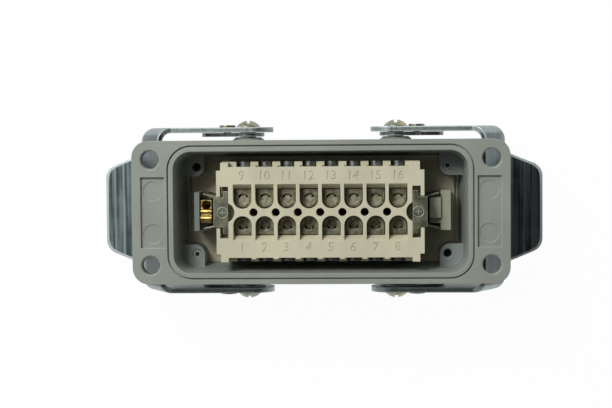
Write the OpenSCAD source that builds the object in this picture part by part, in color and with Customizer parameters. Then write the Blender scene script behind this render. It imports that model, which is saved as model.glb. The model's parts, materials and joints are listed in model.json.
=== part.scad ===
// Heavy duty rectangular connector: a die-cast bulkhead housing with two
// sheet-steel locking levers and a 16 pole + earth screw-terminal insert.
// It stands on the mating face of the insert with the mounting flange up.
// X runs along the housing, Y across it, Z up to the terminal side.

/* [Insert] */
// Number of contacts in a row
poles = 8; // [6:1:8]
// Pitch of the contacts in a row
pitch = 6.7; // [6.5:0.05:6.8]
// Distance from the last wire entry to the end of the terminal block
block_end = 4.5; // [4:0.1:5]
// Distance that the mating block stands out past each end of the terminal block
mate_over = 2.2; // [0:0.1:3]
// Distance from each end of the mating block to the insert screws
screw_end = 5.25; // [4.5:0.25:7]
// Distance from the insert screws to the ends of the insert flange
seat_end = 3.55; // [3.2:0.05:4]
// Width of the mating block
mate_w = 27; // [26:0.5:28]
// Distance from the insert screws to the sides of the insert flange
seat_side = 3.5; // [3.2:0.1:4]
// Thickness of the insert fixing flange
seat_t = 2.6; // [2:0.1:3.5]
// Clearance of the insert in the housing
insert_gap = 0.4; // [0.3:0.05:0.6]
// Height of the insert from mating face to terminal face
insert_h = 34; // [33:0.5:40]
// Rise of the terminal face above the flange face
terminal_rise = 0.5; // [0:0.1:2]
// Width that the terminal face has beyond the mating block
face_over = 0.4; // [0:0.1:1]
// Width that the screw ribs have beyond the mating block
rib_over = 3.4; // [3:0.1:4]
// Height of the terminal face cap above the screws
cap_h = 5; // [4:0.5:6]
// Thread diameter of the insert screws
screw_d = 3; // [2.5:0.1:3.5]

/* [Wire entries] */
// Width of a wire entry
entry_w = 5.6; // [5.2:0.1:5.7]
// Distance from the middle to the round end of a wire entry
entry_in = 1.1; // [0.8:0.1:1.6]
// Length of a wire entry at its floor
entry_l = 6; // [5.6:0.1:6.4]
// Width of the sloped lip at the outer side of a wire entry
entry_lip = 1.4; // [1:0.1:1.6]
// Depth of the sloped lip
entry_lip_h = 3; // [2:0.2:4]
// Diameter of the small holes between the wire entries
mid_hole_d = 2.5; // [1.5:0.1:2.8]

/* [Housing] */
// Height of the housing from its rim to the flange face
housing_h = 29; // [27:0.5:33]
// Wall of the collar that stands inside the rim gasket
collar_wall = 1.7; // [1.4:0.1:2]
// Height of the collar
collar_h = 6.5; // [5:0.5:7.5]
// Width of the gasket shoulder along the sides
shoulder_side = 1.9; // [1.7:0.1:2.4]
// Width of the gasket shoulder at the ends
shoulder_end = 2.35; // [2:0.05:3]
// Outer corner radius of the housing below the flange
body_r = 7.5; // [6:0.5:9]
// Wall at the mouth of the cable opening along the sides
wall_side = 2.55; // [2.2:0.05:3]
// Wall at the mouth of the cable opening at the ends
wall_end = 2.25; // [2:0.05:3]
// Draft of the opening from its mouth to the insert seat
draft = 1.9; // [1.6:0.1:2.2]
// Corner radius of the cable opening
opening_r = 5.5; // [4:0.5:7]
// Depth of the insert seat below the flange face
seat_depth = 21; // [19:0.5:22]
// Depth of the corner bosses below the flange face
boss_depth = 12; // [10:0.5:14]

/* [Flange] */
// Distance that the flange stands out at the ends
flange_end = 10.25; // [9.5:0.25:14]
// Distance that the flange stands out along the sides
flange_side = 0.75; // [0.5:0.25:3]
// Thickness of the mounting flange
flange_t = 4.5; // [3.5:0.5:6]
// Corner radius of the mounting flange
flange_r = 5; // [2:0.5:6]
// Distance from the flange holes to the ends of the flange
hole_end = 5.5; // [5:0.25:6]
// Distance from the flange holes to the sides of the flange
hole_side = 5.75; // [5:0.25:6.5]
// Diameter of the flange holes
hole_d = 5.5; // [4:0.1:5.6]
// Chamfer around the flange holes
hole_chamfer = 0.4; // [0.2:0.1:0.6]
// Width of the lip around the cable opening
lip_w = 1.35; // [0.8:0.05:1.5]
// Width of the groove around the lip
groove_w = 0.5; // [0.4:0.1:0.8]
// Depth of the groove around the lip
groove_d = 0.8; // [0.4:0.1:1.5]
// Distance between the label pocket and the flange holes along it
pocket_side = 5.25; // [5:0.25:7]
// Width of the label pocket along the flange
pocket_l = 7.2; // [6:0.2:7.4]
// Distance of the label pocket from the hole line towards the middle
pocket_in = 0.7; // [0:0.1:0.8]
// Depth of the label pocket
pocket_d = 0.9; // [0.4:0.1:1.5]
// Diameter of the ejector pin marks
ejector_d = 5.8; // [4:0.2:6]
// Spacing of the ejector pin marks
ejector_pitch = 13; // [10:0.2:14]

/* [Contacts] */
// Outer diameter of the barrel in the insert
barrel_d = 4.5; // [4.2:0.1:4.8]
// Clearance of the terminal head in its wire entry
head_gap = 0.3; // [0.2:0.05:0.4]
// Wall around the wire hole in the terminal head
wire_wall = 0.8; // [0.7:0.05:1]
// Depth of the terminal head below the terminal face
head_drop = 3; // [2:0.5:5]
// Depth of the wire hole
wire_depth = 10; // [7:0.5:12]
// Outer diameter of the socket end
socket_d = 3.8; // [3.4:0.1:4]
// Diameter of the mating pin
pin_d = 2.5; // [2:0.1:2.6]
// Depth of the socket bore
socket_depth = 11; // [8:0.5:12]
// Depth of the terminal screws below the terminal face
clamp_depth = 8.5; // [8:0.25:9.5]
// Head diameter of the terminal screws
clamp_head_d = 4.1; // [3.8:0.1:4.4]
// Thread diameter of the terminal screws
clamp_d = 2.5; // [2:0.1:2.8]

/* [Levers] */
// Distance from the lever pivots to the ends of the housing body
pivot_end = 23.75; // [22:0.25:25]
// Depth of the pivots below the flange face
pivot_depth = 18.5; // [17.5:0.25:19.5]
// Diameter of the pivot shoulder
pivot_d = 5; // [4:0.1:5.6]
// Radial running clearance at the pivots
pivot_clear = 0.05; // [0.02:0.01:0.1]
// Thickness of the lever sheet
lever_t = 1.6; // [1.2:0.1:2]
// Distance from the body wall to the outside of a lever arm
lever_out = 4.7; // [4.5:0.1:6]
// Thickness of the cam plates
cam_t = 1.2; // [1:0.1:1.4]
// Gap between neighbouring plates
plate_gap = 0.1; // [0.05:0.01:0.15]
// Distance from the housing body to the outer top edge of the lever web
web_out = 3.7; // [3:0.1:6]
// Rise from the pivot to the top edge of the lever web
web_rise = 9; // [8:0.25:10]
// Height of the lever web measured along the sheet
web_h = 13.3; // [11:0.1:14]
// Lean of the lever web
web_lean = 30; // [24:1:34]
// Outer bend radius at the lever corners
bend_r = 4.5; // [4:0.5:7]
// Inner bend radius between the web and the finger tab
tab_bend_r = 4; // [3:0.5:6]
// Length of the flat lip of the finger tab
tab_lip = 9; // [6:0.2:11]
// Droop of the finger tab when open
tab_droop = 5; // [0:1:12]
// Distance from the lever arms to the root of the finger tab
tab_in = 8.1; // [6:0.1:10]
// Angle of the tapered sides of the finger tab
tab_slope = 22; // [15:1:28]
// Corner radius of the finger tab
tab_r = 4.5; // [3:0.5:6]
// Radius of the lever arm around the pivot
arm_r = 6.2; // [5.5:0.1:7]
// Length of the lever arm behind the pivot
arm_tail = 7.8; // [7:0.1:9]
// Closing travel of a lever in degrees
lever_travel = 40; // [35:1:42]
// Radius of a hood peg that a cam slot takes
peg_r = 2.5; // [2:0.1:2.8]

/* [Hidden] */
CONTACTS = [for (i = [1:2 * poles]) str("contact_", i)];
$fn = 64;
eps = 0.01;
seam = 0.05;
far = 40; // reach of a cut that runs past its piece

// Levels, measured up from the mating face of the insert
face_z = insert_h;
flange_z = face_z - terminal_rise;
rim_z = flange_z - housing_h;
shoulder_z = rim_z + collar_h;
seat_z = flange_z - seat_depth;
boss_z = flange_z - boss_depth;
flange_under_z = flange_z - flange_t;
pivot_z = flange_z - pivot_depth;

// Insert, which follows the contact rows
block_l = poles * pitch + 2 * block_end;
mate_l = block_l + 2 * mate_over;
screw_pitch_x = mate_l + 2 * screw_end;
screw_pitch_y = mate_w;
seat_l = screw_pitch_x + 2 * seat_end;
seat_w = screw_pitch_y + 2 * seat_side;
seat_step = 1;
seat_step_h = 1.2;
mate_r = 1.5;
block_w = mate_w + face_over;
rib_w = mate_w + rib_over;

// Mating cavity, collar and body, which follow the insert flange
seat_r = 3;
cavity_l = seat_l + 2 * insert_gap;
cavity_w = seat_w + 2 * insert_gap;
cavity_r = seat_r + insert_gap;
collar_l = cavity_l + 2 * collar_wall;
collar_w = cavity_w + 2 * collar_wall;
collar_r = cavity_r + collar_wall;
body_l = collar_l + 2 * shoulder_end;
body_w = collar_w + 2 * shoulder_side;
opening_l = body_l - 2 * wall_end;
opening_w = body_w - 2 * wall_side;
flange_l = body_l + 2 * flange_end;
flange_w = body_w + 2 * flange_side;
hole_pitch_x = flange_l - 2 * hole_end;
hole_pitch_y = flange_w - 2 * hole_side;
pocket_w = hole_pitch_y - 2 * pocket_side;
gasket_gap = 0.1;
gasket_h = 2.4;
gasket_inset = 0.4;

// Corner bosses for the insert screws
boss_reach = 2.4;
boss_r = 3;
tap_r = screw_d / 2 - 0.25;
tap_chamfer = 0.3;
ejector_depth = 0.15;

// Terminal block
entry_floor_z = seat_z + 4;
entry_r = entry_w / 2;
entry_out = entry_in + entry_l;
cap_z = face_z - cap_h;
corner_l = block_l - 2.6;
corner_w = rib_w - 0.4;
corner_post = 2.3;
end_step_w = block_w - 2.2;
post_w = 1.5;
post_rise = 0.4;
contact_gap = 0.05;
clamp_z = face_z - clamp_depth;
clamp_head_t = 2.2;
clamp_slot_w = 0.7;
clamp_slot_d = 0.8;
clamp_gap = 0.1;
row_y = entry_in + entry_r;
socket_z = 1.2;
collar_z = seat_z - seat_t;
head_top_z = face_z - head_drop;
head_r = entry_r - head_gap;
head_out = entry_out - head_gap - row_y;
wire_r = head_r - wire_wall;
leaf_t = 0.4;
leaf_drop = 0.7;
leaf_w = 1.5;
leaf_lean = 9;

// Earth brackets at both ends of the terminal block
earth_t = 0.9;
earth_x = block_l / 2 - 3.6;
earth_neck = 9;
earth_hook_w = 12.8;
earth_hook_l = 1.4;
earth_slot_w = 15.6;
earth_slot_l = 2.5;
earth_gap = 0.3;
earth_sink = 0.2;
earth_drop = 5;
earth_ring_r = 3.1;
earth_fold_x = block_l / 2 + 0.9;
wing_l = 4.6;
wing_t = 0.55;
wing_splay = 1.1;
wing_h = 15;
clamp_x = earth_fold_x + 1.2;
clamp_l = 3.4;
clamp_w = 7;
clamp_h = 14.5;
clamp_hole_r = 1.35;
clamp_hole_y = 2;
ridge_r = 1.1;
clamp_ridges = [-0.1, -2.2];
earth_screw_r = 1.6;
end_plate_x = clamp_x + clamp_l + 0.4;
end_plate_l = 1.6;
end_plate_w = 11.8;
end_block_x = block_l / 2 + 1.8;
end_block_l = 3.4;
end_block_w = 8;
end_ledge = 1.7;
end_wall_l = 3.1;
end_wall_w = 12.2;
end_rise = 14;

// Lever mechanism, measured from a pivot with the lever open
pivot_x = body_l / 2 - pivot_end;
lever_w = body_w + 2 * lever_out;
arm_y = lever_w / 2 - lever_t;
cam_y = arm_y - plate_gap - cam_t;
pivot_boss_y = cam_y - plate_gap - 0.5;
washer_t = 0.4;
pivot_boss_r = 4.4;
pivot_base_r = 6.2;
pivot_head_r = 3.8;
pivot_head_h = 2;
pivot_thread_r = pivot_d / 2 - 0.7;
pivot_thread_l = 3.4;
web_u = turned([pivot_end + web_out, web_rise], -web_lean).x;
web_top = turned([pivot_end + web_out, web_rise], -web_lean).y;
web_foot = web_top - web_h;
tab_half = lever_w / 2 - tab_in;
tab_turn = 90 - web_lean - tab_droop;
cam_hub_r = 5;
cam_rim = 2.7;
cam_neck = 9.4;
cam_clear = 0.3;
cam_r = peg_r + cam_clear + cam_rim;
cam_mouth = 2 * (peg_r + cam_clear) - 0.2;
peg_closed = [4.5, -9.5];
peg_lift = 1.5;
peg_seat = turned(peg_closed, lever_travel);
peg_mouth = peg_closed - [0, peg_lift];
rivet_x = 6.5;
rivet_z = 0.8;
rivet_r = 1.2;
rivet_head_r = 2.5;
rivet_head_h = 0.7;

function turned(p, a) = [p.x * cos(a) - p.y * sin(a), p.x * sin(a) + p.y * cos(a)];
function heading(v) = atan2(v.y, v.x);

// ---------------------------------------------------------------- helpers

// Rectangle with true round corners, centred on the origin
module round_rect(l, w, r) {
    square([l - 2 * r, w], center = true);
    square([l, w - 2 * r], center = true);
    for (x = [-1, 1], y = [-1, 1])
        translate([x * (l / 2 - r), y * (w / 2 - r)]) circle(r);
}

// Upright slab of a rounded rectangle from one level to another
module slab(l, w, r, z0, z1) {
    translate([0, 0, z0]) linear_extrude(z1 - z0) round_rect(l, w, r);
}

// Well with round corners whose walls lean in by d from its mouth at z1 down to z0
module drafted_well(l, w, r, d, z0, z1) {
    module walls(a, b)
        upright(-(b / 2 - r), b - 2 * r)
            polygon([[-a / 2, z1], [a / 2, z1], [a / 2 - d, z0], [d - a / 2, z0]]);
    walls(l, w);
    rotate([0, 0, 90]) walls(w, l);
    at_corners(l - 2 * r, w - 2 * r)
        translate([0, 0, z0]) cylinder(r1 = r - d, r2 = r, h = z1 - z0);
}

// Copies for the four corners of a rectangle
module at_corners(dx, dy) {
    for (x = [-1, 1], y = [-1, 1]) translate([x * dx / 2, y * dy / 2, 0]) children();
}

// Plate that lies in an XZ plane, from y0 to y0 + t, drawn as (x, z)
module upright(y0, t) {
    translate([0, y0 + t, 0]) rotate([90, 0, 0]) linear_extrude(t) children();
}

// Cylinder along +Y from y0 to y1
module rod_y(r, y0, y1) {
    translate([0, y0, 0]) rotate([-90, 0, 0]) cylinder(r = r, h = y1 - y0);
}

// Places a right-hand lever part: pivots are measured from the origin
module at_pivot() { translate([pivot_x, 0, pivot_z]) children(); }

// Makes the left-hand twin of a right-hand part
module to_left() { mirror([1, 0, 0]) children(); }

// ---------------------------------------------------------------- housing

module flange_hole() {
    cylinder(r = hole_d / 2, h = flange_t + 2 * eps);
    translate([0, 0, flange_t + eps - hole_chamfer])
        cylinder(r1 = hole_d / 2, r2 = hole_d / 2 + hole_chamfer, h = hole_chamfer);
}

module label_pocket() {
    translate([0, 0, flange_z - pocket_d])
        linear_extrude(pocket_d + eps) square([pocket_l, pocket_w], center = true);
    for (y = [-1, 1])
        translate([0, y * ejector_pitch / 2, flange_z - pocket_d - ejector_depth])
            cylinder(r = ejector_d / 2, h = ejector_depth + eps);
}

// Boss that fills one corner of the cable opening, drawn in the +X +Y corner
module corner_boss() {
    x0 = screw_pitch_x / 2 - boss_reach;
    y0 = screw_pitch_y / 2 - boss_reach - 0.5;
    translate([0, 0, seat_z]) linear_extrude(boss_z - seat_z) intersection() {
        union() {
            translate([x0 + boss_r, y0]) square([opening_l, opening_w]);
            translate([x0, y0 + boss_r]) square([opening_l, opening_w]);
            translate([x0 + boss_r, y0 + boss_r]) circle(boss_r);
        }
        round_rect(opening_l + 1, opening_w + 1, opening_r + 0.5);
    }
}

module tapped_hole() {
    cylinder(r = tap_r, h = boss_z - seat_z + 2 * eps);
    translate([0, 0, boss_z - seat_z + eps - tap_chamfer])
        cylinder(r1 = tap_r, r2 = tap_r + tap_chamfer, h = tap_chamfer);
}

// Conical boss on the side wall that carries one pivot, on the +Y side
module pivot_boss() {
    root = body_w / 2 - gasket_inset / 2;
    translate([0, root, 0]) rotate([-90, 0, 0])
        cylinder(r1 = pivot_base_r, r2 = pivot_boss_r, h = pivot_boss_y - root);
}

module housing() color("#8a8780") difference() {
    union() {
        slab(flange_l, flange_w, flange_r, flange_under_z, flange_z);
        slab(body_l, body_w, body_r, shoulder_z, flange_under_z + eps);
        slab(collar_l, collar_w, collar_r, rim_z, shoulder_z + eps);
        for (side = [0, 1]) mirror([0, side, 0]) {
            at_pivot() pivot_boss();
            to_left() at_pivot() pivot_boss();
        }
    }
    difference() {
        drafted_well(opening_l, opening_w, opening_r, draft, seat_z, flange_z + eps);
        for (mx = [0, 1], my = [0, 1]) mirror([mx, 0, 0]) mirror([0, my, 0]) corner_boss();
    }
    slab(cavity_l, cavity_w, cavity_r, rim_z - eps, seat_z + eps / 2);
    translate([0, 0, flange_z - groove_d]) linear_extrude(groove_d + eps) difference() {
        round_rect(opening_l + 2 * (lip_w + groove_w), opening_w + 2 * (lip_w + groove_w),
                   opening_r + lip_w + groove_w);
        round_rect(opening_l + 2 * lip_w, opening_w + 2 * lip_w, opening_r + lip_w);
    }
    at_corners(screw_pitch_x, screw_pitch_y) translate([0, 0, seat_z - eps]) tapped_hole();
    at_corners(hole_pitch_x, hole_pitch_y) translate([0, 0, flange_under_z - eps]) flange_hole();
    for (x = [-1, 1]) translate([x * (hole_pitch_x / 2 - pocket_in), 0, 0]) label_pocket();
    for (x = [-1, 1], side = [0, 1]) mirror([0, side, 0])
        translate([x * pivot_x, 0, pivot_z])
            rod_y(pivot_thread_r, pivot_boss_y - pivot_thread_l, pivot_boss_y + eps);
}

// Square-section ring with a sealing bead, seated on the shoulder around the collar
module rim_gasket() color("#222222") {
    l = collar_l + 2 * gasket_gap;
    w = collar_w + 2 * gasket_gap;
    r = collar_r + gasket_gap;
    thick = (body_w - w) / 2 - gasket_inset;
    translate([0, 0, shoulder_z - gasket_h]) linear_extrude(gasket_h) difference() {
        round_rect(l + 2 * thick, w + 2 * thick, r + thick);
        round_rect(l, w, r);
    }
}

// ---------------------------------------------------------------- insert

function column_x(i) = (i - (poles - 1) / 2) * pitch;

// Runs its children at the middle of every contact
module at_contacts() {
    for (i = [0:poles - 1], y = [-1, 1]) translate([column_x(i), y * row_y, 0]) children();
}

// Outline of one wire entry of the +Y row: flat outside, round inside
module entry_outline() {
    translate([0, row_y]) circle(entry_r);
    translate([-entry_r, row_y]) square([entry_w, entry_out - row_y]);
}

// Wire entry of the +Y row, with the sloped lip that guides the wire in
module wire_entry() {
    translate([0, 0, entry_floor_z]) linear_extrude(face_z) entry_outline();
    translate([-entry_r, 0, face_z]) rotate([90, 0, 90]) linear_extrude(entry_w)
        polygon([[row_y, eps], [entry_out + entry_lip, eps], [entry_out, -entry_lip_h],
                 [row_y, -entry_lip_h]]);
}

// Stepped outline of the terminal face
module face_outline() {
    square([corner_l, block_w], center = true);
    square([block_l, end_step_w], center = true);
    for (x = [-1, 1], y = [-1, 1])
        translate([x * (corner_l - corner_post) / 2, y * corner_w / 4])
            square([corner_post, corner_w / 2], center = true);
    for (i = [0:poles - 2])
        translate([(column_x(i) + column_x(i + 1)) / 2, 0])
            square([post_w, block_w + 2 * post_rise], center = true);
}

// T-shaped slot for an earth bracket in the +X end of the block, with a round relief
module earth_slot() {
    translate([earth_x, -earth_slot_w / 2]) square([earth_slot_l, earth_slot_w]);
    translate([earth_x, -earth_neck / 2 - earth_gap]) square([far, earth_neck + 2 * earth_gap]);
    translate([earth_x + earth_slot_l / 2, 0]) circle(earth_ring_r);
}

module insert_terminal_body() color("#cfcbb0") difference() {
    union() {
        translate([0, 0, cap_z]) linear_extrude(cap_h) face_outline();
        translate([0, 0, seat_z]) linear_extrude(cap_z - seat_z + eps) difference() {
            square([corner_l, rib_w], center = true);
            for (i = [0:poles - 1], y = [-1, 1])
                translate([column_x(i), y * rib_w / 2])
                    square([clamp_head_d + 2 * clamp_gap, 2 * (clamp_head_t + clamp_gap)], center = true);
        }
    }
    for (i = [0:poles - 1], my = [0, 1]) mirror([0, my, 0])
        translate([column_x(i), 0, 0]) wire_entry();
    at_contacts() translate([0, 0, seat_z - eps])
        cylinder(r = barrel_d / 2 + contact_gap, h = insert_h);
    for (i = [0:poles - 1]) translate([column_x(i), 0, clamp_z]) {
        rod_y(clamp_d / 2 + clamp_gap, -rib_w / 2, rib_w / 2);
    }
    for (i = [0:poles - 2])
        translate([(column_x(i) + column_x(i + 1)) / 2, 0, entry_floor_z])
            cylinder(r = mid_hole_d / 2, h = face_z);
    for (mx = [0, 1]) mirror([mx, 0, 0])
        translate([0, 0, face_z - earth_drop]) linear_extrude(earth_drop + eps) earth_slot();
}

// Raised plastic blocks on the fixing flange beyond the ends of the terminal block
module end_blocks() {
    translate([end_block_x, -end_block_w / 2 + end_ledge, seat_z - eps])
        cube([end_block_l, end_block_w - end_ledge, end_rise]);
    translate([end_block_x, -end_block_w / 2, seat_z - eps])
        cube([end_block_l, 2 * end_ledge, end_rise - end_ledge]);
    translate([end_block_x + end_block_l - seam, -end_wall_w / 2, seat_z - eps])
        cube([end_wall_l, end_wall_w, end_rise - 1]);
    to_left() translate([end_plate_x, -end_plate_w / 2, seat_z - eps])
        cube([end_plate_l, end_plate_w, end_rise + 1]);
}

module insert_socket_body() color("#c4c0a6") difference() {
    union() {
        slab(seat_l, seat_w, seat_r, collar_z, seat_z - seat_step_h);
        slab(seat_l - 2 * seat_step, seat_w, seat_r, seat_z - seat_step_h - eps, seat_z);
        slab(mate_l, mate_w, mate_r, 0, collar_z + eps);
        end_blocks();
    }
    at_corners(screw_pitch_x, screw_pitch_y) translate([0, 0, seat_z - seat_t - eps])
        cylinder(r = screw_d / 2 + 0.2, h = seat_t + 2 * eps);
    at_contacts() {
        translate([0, 0, socket_z]) cylinder(r = barrel_d / 2 + contact_gap, h = insert_h);
        translate([0, 0, -eps]) cylinder(r = pin_d / 2 + 0.25, h = 2 * socket_z);
        translate([0, 0, -eps]) cylinder(r1 = pin_d / 2 + 0.8, r2 = pin_d / 2 + 0.25, h = 0.55);
    }
}

// Wire guard in the +Y row: a tongue across the wire hole that hangs on a narrow neck
module leaf() {
    translate([0, 0, head_top_z - leaf_drop]) rotate([-leaf_lean, 0, 0])
        translate([0, 0, -leaf_t]) linear_extrude(leaf_t) intersection() {
            circle(wire_r + wire_wall / 3);
            union() {
                translate([-head_r, -head_r]) square([2 * head_r, head_r + wire_r / 3]);
                translate([-leaf_w / 2, 0]) square([leaf_w, head_r]);
            }
        }
}

// Female contact: slit socket, barrel, and a D-shaped head with a cross thread
module contact(i) {
    slit_w = 0.5;
    slit_h = socket_depth - 3.5;
    color("#b9b6ae") translate([column_x((i - 1) % poles), 0, 0])
        mirror([0, i <= poles ? 1 : 0, 0]) translate([0, row_y, 0]) {
            difference() {
                union() {
                    translate([0, 0, socket_z])
                        cylinder(r = socket_d / 2, h = collar_z + eps - socket_z);
                    translate([0, 0, collar_z])
                        cylinder(r = barrel_d / 2, h = entry_floor_z + 1 - collar_z);
                    translate([0, 0, entry_floor_z + contact_gap])
                        linear_extrude(head_top_z - entry_floor_z - contact_gap) {
                            circle(head_r);
                            translate([-head_r, 0]) square([2 * head_r, head_out]);
                        }
                }
                translate([0, 0, socket_z - eps]) cylinder(r = pin_d / 2, h = socket_depth);
                for (a = [0, 90]) rotate([0, 0, a])
                    translate([-socket_d, -slit_w / 2, socket_z - eps])
                        cube([2 * socket_d, slit_w, slit_h]);
                translate([0, 0, head_top_z - wire_depth]) cylinder(r = wire_r, h = wire_depth + eps);
                translate([0, 0, clamp_z]) rod_y(clamp_d / 2, 0, head_out + eps);
            }
            leaf();
        }
}

// Slotted terminal screw that points inwards, for the +Y row
module terminal_screw() {
    head_y = rib_w / 2;
    tip_y = row_y + wire_r / 2;
    difference() {
        union() {
            rod_y(clamp_head_d / 2, head_y - clamp_head_t, head_y);
            rod_y(clamp_d / 2 - contact_gap, tip_y, head_y - eps);
        }
        translate([-clamp_head_d, head_y - clamp_slot_d, -clamp_slot_w / 2])
            cube([2 * clamp_head_d, 2 * clamp_slot_d, clamp_slot_w]);
    }
}

module terminal_screws(side) color("#a9aaa6")
    for (i = [0:poles - 1])
        translate([column_x(i), 0, clamp_z]) mirror([0, side, 0]) terminal_screw();

// Captive screws through the insert flange; two are driven home, two stand off
module insert_screw() {
    head_r = screw_d * 0.95;
    head_h = screw_d * 0.75;
    shank = seat_t + boss_z - seat_z - 0.4;
    difference() {
        union() {
            translate([0, 0, -head_h]) cylinder(r = head_r, h = head_h);
            translate([0, 0, -eps]) cylinder(r = tap_r - contact_gap, h = shank);
        }
        translate([-head_r - 1, -0.4, -head_h - eps]) cube([2 * head_r + 2, 0.8, 0.9]);
    }
}

module insert_screws() color("#b4b6b4") {
    x = screw_pitch_x / 2;
    y = screw_pitch_y / 2;
    backed_out = 3.5;
    for (p = [[x, y], [-x, -y]]) translate([p.x, p.y, collar_z]) insert_screw();
    for (p = [[-x, y], [x, -y]]) translate([p.x, p.y, collar_z - backed_out]) insert_screw();
}

// ---------------------------------------------------------------- earth parts

// Stamped earth bracket: hooked plate in the face, a fold and two splayed wings
module earth_bracket() {
    top = face_z - earth_sink;
    x_in = earth_x + earth_gap / 2;
    wing_x = earth_fold_x - earth_t;
    translate([0, 0, top - earth_t]) linear_extrude(earth_t) {
        translate([x_in, -earth_neck / 2]) square([earth_fold_x - x_in, earth_neck]);
        translate([x_in, -earth_hook_w / 2]) square([earth_hook_l, earth_hook_w]);
    }
    translate([wing_x, -earth_neck / 2, seat_z]) cube([earth_t, earth_neck, top - seat_z]);
    translate([0, 0, seat_z]) linear_extrude(wing_h) for (s = [0, 1]) mirror([0, s])
        polygon([[wing_x, earth_neck / 2 - wing_t], [wing_x, earth_neck / 2],
                 [wing_x + wing_l, earth_neck / 2 + wing_splay],
                 [wing_x + wing_l, earth_neck / 2 + wing_splay - wing_t]]);
}

module earth_bracket_right() color("#9a9b93") earth_bracket();

module earth_bracket_left() color("#9a9b93") to_left() earth_bracket();

// Brass wire clamp between the wings of the left bracket, with two rounded ridges
module earth_clamp() color("#c8a24a") to_left() translate([clamp_x, 0, seat_z]) {
    difference() {
        union() {
            translate([0, -clamp_w / 2, 0]) cube([clamp_l, clamp_w, clamp_h]);
            for (y = clamp_ridges) translate([0, y, clamp_h]) rotate([0, 90, 0])
                cylinder(r = ridge_r, h = clamp_l);
        }
        translate([clamp_l / 2, clamp_hole_y, 2]) cylinder(r = clamp_hole_r, h = clamp_h);
        translate([-eps, 0, clamp_h / 2]) rotate([0, 90, 0])
            cylinder(r = earth_screw_r, h = clamp_l + 2 * eps);
    }
}

module earth_screw() color("#d0b050") to_left() translate([clamp_x, 0, seat_z + clamp_h / 2])
    rotate([0, 90, 0]) cylinder(r = earth_screw_r - contact_gap, h = clamp_l);

// ---------------------------------------------------------------- levers

// Side outline of the bent-up sheet, drawn in the frame of the leaning web
module arm_outline() difference() {
    tail = [arm_r - arm_tail, 0];
    start = [0, arm_r - seam];
    union() {
        circle(arm_r);
        translate(turned(tail, -web_lean)) circle(arm_r);
        polygon([turned(tail + start, -web_lean), [web_u - bend_r, web_top],
                 [web_u + 1, web_top], [web_u + 1, web_foot], [web_u - bend_r, web_foot],
                 turned(tail - start, -web_lean)]);
    }
    circle(pivot_d / 2 + pivot_clear);
    translate(turned([rivet_x, rivet_z], -web_lean)) circle(rivet_r + contact_gap);
}

// Plan of the bent-up sheet: two arms, two quarter bends and the web
module bail_plan() {
    module filled(r, x, half) {
        translate([-far, -half]) square([far + x - r, 2 * half]);
        translate([-far, -(half - r)]) square([far + x, 2 * (half - r)]);
        for (y = [-1, 1]) translate([x - r, y * (half - r)]) circle(r);
    }
    difference() {
        filled(bend_r, web_u, lever_w / 2);
        translate([-1, 0]) filled(bend_r - lever_t, web_u - lever_t + 1, arm_y);
    }
}

// Section of the finger tab with the foot of the web above it
module tab_section() {
    foot_h = 2;
    start = [web_u + tab_bend_r, web_foot];
    translate([web_u - lever_t, web_foot]) square([lever_t, foot_h]);
    translate(start) intersection() {
        difference() {
            circle(tab_bend_r + lever_t);
            circle(tab_bend_r);
        }
        polygon([[0, 0], for (a = [0:0.25:1]) 3 * tab_bend_r * [-cos(a * tab_turn),
                                                                -sin(a * tab_turn)]]);
    }
    translate(start) rotate(180 + tab_turn)
        translate([tab_bend_r, -seam]) square([lever_t, tab_lip + seam]);
}

// Plan of the finger tab seen from above, with tapered sides and round corners
module tab_plan() {
    foot_x = turned([web_u, web_foot], web_lean).x;
    tip_x = foot_x + tab_bend_r * cos(web_lean) - (tab_bend_r + lever_t) * sin(tab_droop)
            + tab_lip * cos(tab_droop);
    c_x = tip_x - tab_r;
    c_y = tab_half - (c_x - foot_x) * tan(tab_slope) - tab_r / cos(tab_slope);
    touch = [c_x, c_y] + (tab_r - eps) * [sin(tab_slope), cos(tab_slope)];
    translate([0, -tab_half]) square([foot_x, 2 * tab_half]);
    polygon([[foot_x - 1, -tab_half], [foot_x, -tab_half], [touch.x, -touch.y], [c_x, -c_y],
             [c_x, c_y], touch, [foot_x, tab_half], [foot_x - 1, tab_half]]);
    translate([foot_x, -c_y]) square([tip_x - foot_x, 2 * c_y]);
    for (y = [-1, 1]) translate([c_x, y * c_y]) circle(tab_r);
}

// Locking lever, built upright in the frame of its web and then leaned over
module lever() rotate([0, -web_lean, 0]) {
    intersection() {
        translate([0, 0, -far]) linear_extrude(2 * far) bail_plan();
        upright(-lever_w, 2 * lever_w) arm_outline();
    }
    intersection() {
        upright(-tab_half - 1, 2 * tab_half + 2) tab_section();
        rotate([0, web_lean, 0]) translate([0, 0, -far]) linear_extrude(2 * far) tab_plan();
    }
}

module right_lever() color("#9fa6aa") at_pivot() lever();

module left_lever() color("#9fa6aa") to_left() at_pivot() lever();

// Hooked cam plate: a hub on the pivot and a slot that draws a hood peg home
module cam_outline() difference() {
    union() {
        circle(cam_hub_r);
        translate(peg_seat) circle(cam_r);
        rotate(heading(peg_seat)) translate([0, -cam_neck / 2]) square([norm(peg_seat), cam_neck]);
    }
    circle(pivot_d / 2 + pivot_clear);
    translate(peg_seat) circle(peg_r + cam_clear);
    translate(peg_seat) rotate(heading(peg_mouth - peg_seat))
        translate([0, -cam_mouth / 2]) square([far, cam_mouth]);
    translate([rivet_x, rivet_z]) circle(rivet_r + contact_gap);
}

module cam_plate() { at_pivot() upright(cam_y, cam_t) cam_outline(); }

// Two small rivets that tie the cam plates to the arms of one lever
module cam_rivets() {
    for (s = [0, 1]) mirror([0, s, 0]) at_pivot() translate([rivet_x, 0, rivet_z]) {
        rod_y(rivet_r, cam_y + eps, arm_y + lever_t + eps);
        rod_y(rivet_head_r, arm_y + lever_t, arm_y + lever_t + rivet_head_h);
    }
}

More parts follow.
